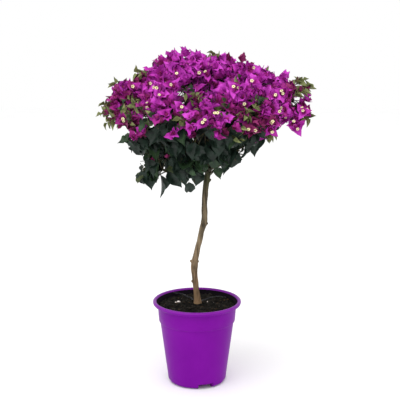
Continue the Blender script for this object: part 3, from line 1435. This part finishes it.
shell, rim, lining, soil, clods, chips, grit, roots = (Heap() for _ in range(8))
for heap, profile in ((shell, POT_OUTSIDE), (rim, POT_RIM), (lining, POT_INSIDE)):
    pot_mesh(heap, profile)
soil_mesh(soil)
scatter(clods, count=900, sizes=(0.7, 2.6), squash=0.75, seed=11)
scatter(chips, count=30, sizes=(1.2, 3.2), squash=0.35, seed=31)
fibres(chips, count=40, seed=41)
scatter(grit, count=9, sizes=(0.6, 1.2), squash=0.8, seed=51)
root_meshes(roots)
for x, y, size in STONES:
    place_round(grit, lump_shape(int(size * 10), squash=0.5), np.array([x, y, STONE_HEIGHT]), UP, size)

# Materials.

# How bright a lit surface comes out, as a share of its own colour.
LIGHT_GAIN = 0.85
BLOTCH_EDGES = (0.34, 0.66)
VEIN_WIDTH = 0.12


def linear(rgb):
    """A colour as it looks under the studio light, in sRGB values of 0 to 255, made linear."""
    shares = [value / 255 for value in rgb]
    tones = [s / 12.92 if s <= 0.04045 else ((s + 0.055) / 1.055) ** 2.4 for s in shares]
    return [tone / LIGHT_GAIN for tone in tones] + [1.0]


def feed(tree, node, inputs):
    """Links a node's inputs to other nodes' outputs, or sets them to values."""
    for key, value in inputs.items():
        if isinstance(value, bpy.types.NodeSocket):
            tree.links.new(value, node.inputs[key])
        else:
            node.inputs[key].default_value = value


def add_node(tree, kind, output, inputs, **settings):
    """Makes a node and returns one of its outputs."""
    node = tree.nodes.new(f"ShaderNode{kind}")
    for key, value in settings.items():
        setattr(node, key, value)
    feed(tree, node, inputs)
    return node.outputs[output]


def colour_ramp(tree, fac, stops):
    """A ramp through rows of position and colour."""
    colour = add_node(tree, "ValToRGB", "Color", {"Fac": fac})
    elements = colour.node.color_ramp.elements
    while len(elements) < len(stops):
        elements.new(0.5)
    for element, (position, tone) in zip(elements, stops):
        element.position = position
        element.color = tone
    return colour


def with_veins(tree, place, colour, scale, shade):
    """A colour with a net of fine veins that are darker or lighter than it."""
    net = {"Vector": place, "Scale": scale}
    away = add_node(tree, "TexVoronoi", "Distance", net, feature="DISTANCE_TO_EDGE")
    limits = {"Value": away, "From Max": VEIN_WIDTH, "To Min": shade, "To Max": 1.0}
    edge = add_node(tree, "MapRange", "Result", limits)
    return add_node(tree, "VectorMath", "Vector", {0: colour, "Scale": edge}, operation="SCALE")


def material(name, dark, light, scale, roughness, bump=0.2, depth=0.3, stretch=(1, 1, 1), specular=0.5,
             detail=4, veins=0, vein_shade=0.8):
    """A surface that varies between two colours and two roughnesses, with a fine bump.
    scale is how many blotches there are in a metre, and depth is the bump's height in millimetres.
    veins is how many meshes of a net of veins there are in a metre, vein_shade how bright they are."""
    made = bpy.data.materials.new(name)
    made.use_nodes = True
    tree = made.node_tree
    place = add_node(tree, "TexCoord", "Object", {})
    place = add_node(tree, "Mapping", "Vector", {"Vector": place, "Scale": stretch})
    blotches = add_node(tree, "TexNoise", "Fac", {"Vector": place, "Scale": scale, "Detail": detail})
    fine = add_node(tree, "TexNoise", "Fac", {"Vector": place, "Scale": scale * 4, "Detail": 3})
    colour = colour_ramp(tree, blotches, list(zip(BLOTCH_EDGES, (linear(dark), linear(light)))))
    if veins:
        colour = with_veins(tree, place, colour, veins, vein_shade)
    polish = {"Value": blotches, "To Min": roughness[0], "To Max": roughness[1]}
    relief = {"Height": fine, "Strength": bump, "Distance": depth * MM}
    feed(tree, tree.nodes["Principled BSDF"], {
        "Base Color": colour,
        "Roughness": add_node(tree, "MapRange", "Result", polish),
        "Normal": add_node(tree, "Bump", "Normal", relief),
        "Specular IOR Level": specular,
    })
    return made


def tint_by_height(look, stops):
    """Multiplies a surface's colour by a tint that changes upward: rows of height in metres and tint."""
    tree = look.node_tree
    base = tree.nodes["Principled BSDF"].inputs["Base Color"]
    place = add_node(tree, "TexCoord", "Object", {})
    height = add_node(tree, "SeparateXYZ", "Z", {"Vector": place})
    tint = colour_ramp(tree, height, [(position, [*tone, 1.0]) for position, tone in stops])
    factors = {0: base.links[0].from_socket, 1: tint}
    tree.links.new(add_node(tree, "VectorMath", "Vector", factors, operation="MULTIPLY"), base)


BRACT_FINISH = {"bump": 0.6, "depth": 0.9, "specular": 0.15, "veins": 320, "vein_shade": 0.82}
LEAF_FINISH = {"bump": 0.5, "depth": 0.7, "specular": 0.25, "veins": 210, "vein_shade": 1.3}
# By tint: the darker and the lighter colour, blotches in a metre, and the roughnesses.
BRACT_COLOURS = {
    "bright": ((176, 50, 169), (195, 72, 188), 90, (0.55, 0.75)),
    "rich": ((162, 38, 147), (182, 55, 171), 90, (0.55, 0.75)),
    "deep": ((140, 30, 113), (160, 44, 133), 90, (0.5, 0.7)),
    "dusky": ((116, 32, 80), (138, 47, 100), 90, (0.5, 0.7)),
}
LEAF_COLOURS = {
    "dark": ((14, 24, 19), (34, 49, 40), 70, (0.3, 0.5)),
    "middle": ((28, 46, 30), (52, 74, 48), 70, (0.34, 0.55)),
    "fresh": ((44, 55, 32), (70, 78, 48), 70, (0.4, 0.6)),
    "young": ((84, 92, 52), (122, 128, 82), 110, (0.45, 0.65)),
}
# The other pieces: the material's name, the same four values, and the rest.
OTHER_LOOKS = {
    "tubes": ("flower_tube", (140, 34, 100), (170, 70, 120), 200, (0.5, 0.7), {"specular": 0.15}),
    "stars": ("flower_star", (208, 196, 150), (232, 222, 186), 260, (0.55, 0.75), {"specular": 0.2}),
    "throats": ("flower_throat", (128, 128, 52), (178, 170, 84), 260, (0.55, 0.75), {"specular": 0.2}),
    "twigs": ("twig_bark", (40, 40, 28), (72, 69, 49), 160, (0.7, 0.9),
              {"bump": 0.5, "stretch": (1, 1, 0.4), "specular": 0.15}),
    "green_twigs": ("twig_green", (56, 64, 36), (92, 92, 54), 160, (0.5, 0.75), {"specular": 0.15}),
    "boughs_bark": ("bough_bark", (38, 38, 30), (72, 69, 54), 150, (0.75, 0.95),
                    {"bump": 0.7, "depth": 0.6, "stretch": (1, 1, 0.5), "specular": 0.15, "detail": 6}),
    "trunk_bark": ("bark", (70, 60, 50), (160, 140, 115), 150, (0.75, 0.95),
                   {"bump": 0.9, "depth": 1.2, "stretch": (1, 1, 0.14), "specular": 0.15, "detail": 8}),
    "pot_shell": ("pot_plastic", (106, 6, 133), (112, 9, 139), 14, (0.34, 0.46),
                  {"bump": 0.08, "depth": 0.2, "specular": 0.06}),
    "pot_rim": ("pot_rim_plastic", (112, 20, 138), (120, 28, 146), 14, (0.3, 0.4),
                {"bump": 0.08, "depth": 0.2, "specular": 0.15}),
    "pot_lining": ("pot_lining", (12, 8, 14), (20, 13, 23), 14, (0.6, 0.7),
                   {"bump": 0.08, "depth": 0.2, "specular": 0.04}),
    "soil_surface": ("soil", (7, 7, 6), (32, 30, 27), 130, (0.85, 1.0),
                     {"bump": 1.0, "depth": 1.5, "specular": 0.05, "detail": 8}),
    "soil_clods": ("soil_clod", (9, 9, 8), (50, 47, 42), 60, (0.85, 1.0),
                   {"bump": 0.8, "depth": 0.8, "specular": 0.05}),
    "soil_roots": ("soil_root", (38, 38, 40), (64, 64, 66), 160, (0.8, 0.95),
                   {"bump": 0.6, "depth": 0.4, "specular": 0.05}),
    "bark_chips": ("bark_chip", (52, 38, 26), (96, 72, 50), 60, (0.75, 0.95),
                   {"bump": 0.6, "depth": 0.5, "specular": 0.05}),
    "soil_grit": ("grit", (190, 172, 164), (236, 226, 220), 200, (0.7, 0.9), {"bump": 0.4, "specular": 0.1}),
}
# The bark is warm and pale at the foot, greyer above, and dark olive inside the head: height and tint.
BARK_TINTS = [
    (0.18, (1, 0.85, 0.7)), (0.26, (0.72, 0.68, 0.62)), (0.33, (0.6, 0.62, 0.6)),
    (0.405, (0.55, 0.58, 0.54)), (0.44, (0.2, 0.27, 0.2)),
]

looks = {piece: material(*row, **finish) for piece, (*row, finish) in OTHER_LOOKS.items()}
for tint, row in BRACT_COLOURS.items():
    looks[f"bracts_{tint}"] = material(f"bract_{tint}", *row, **BRACT_FINISH)
for tint, row in LEAF_COLOURS.items():
    looks[f"leaves_{tint}"] = material(f"leaf_{tint}", *row, **LEAF_FINISH)
tint_by_height(looks["trunk_bark"], BARK_TINTS)

# The pieces: each heap as one mesh, with the nodes that it stands for and its slot in the record.

SLOTS = {"bracts": "bract", "leaves": "leaf", "twigs": "bark", "green": "leaf", "tubes": "bract"}
foliage_nodes = [f"foliage_{mass.name}" for mass in masses]
pieces = [(name, heap, foliage_nodes, SLOTS.get(name.split("_")[0])) for name, heap in heaps.items()]
pieces += [
    ("trunk_bark", trunk, ["trunk"], "bark"),
    ("boughs_bark", boughs, [f"bough_{mass.name}" for mass in masses], "bark"),
    ("pot_shell", shell, ["pot"], "pot"),
    ("pot_rim", rim, ["pot"], "pot"),
    ("pot_lining", lining, ["pot"], None),
    ("soil_surface", soil, ["soil"], "soil"),
    ("soil_clods", clods, ["soil"], "soil"),
    ("bark_chips", chips, ["soil"], "soil"),
    ("soil_grit", grit, ["soil"], None),
    ("soil_roots", roots, ["soil"], "soil"),
]
for name, heap, nodes, slot in pieces:
    made = heap.build(name, looks[name])
    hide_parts(*nodes)

# Floor, light and camera, in metres.


def area_light(name, place, target, size, power):
    data = bpy.data.lights.new(name, "AREA")
    data.shape = "SQUARE"
    data.size = size
    data.energy = power
    made = place_object(name, data)
    made.location = place
    way = np.array(place) - np.array(target)
    level = math.hypot(way[0], way[1])
    made.rotation_euler = (math.atan2(level, way[2]), 0, math.atan2(way[1], way[0]) + math.pi / 2)


bpy.ops.mesh.primitive_plane_add(size=14, location=(0, 0, -0.0005))
floor = bpy.context.object
floor.name = "floor"
paint = material("floor_paint", (235, 235, 235), (236, 236, 236), 3, (0.8, 0.9), bump=0.0)
floor.data.materials.append(paint)

area_light("overhead", place=(-0.5, -1.2, 3.0), target=(0, 0, 0.5), size=2.6, power=50)

world = bpy.data.worlds.new("studio")
world.use_nodes = True
world.node_tree.nodes["Background"].inputs["Color"].default_value = (1, 1, 1, 1)
world.node_tree.nodes["Background"].inputs["Strength"].default_value = 1.0
bpy.context.scene.world = world
bpy.context.scene.view_settings.view_transform = "Standard"

camera_data = bpy.data.cameras.new("camera")
camera_data.sensor_width = SENSOR_MM
camera_data.lens = SENSOR_MM * FOCAL_PIXELS / FRAME_PIXELS
camera = place_object("camera", camera_data)
camera.location = CAMERA_PLACE
camera.rotation_euler = (math.radians(90 - CAMERA_PITCH), 0, 0)
bpy.context.scene.camera = camera
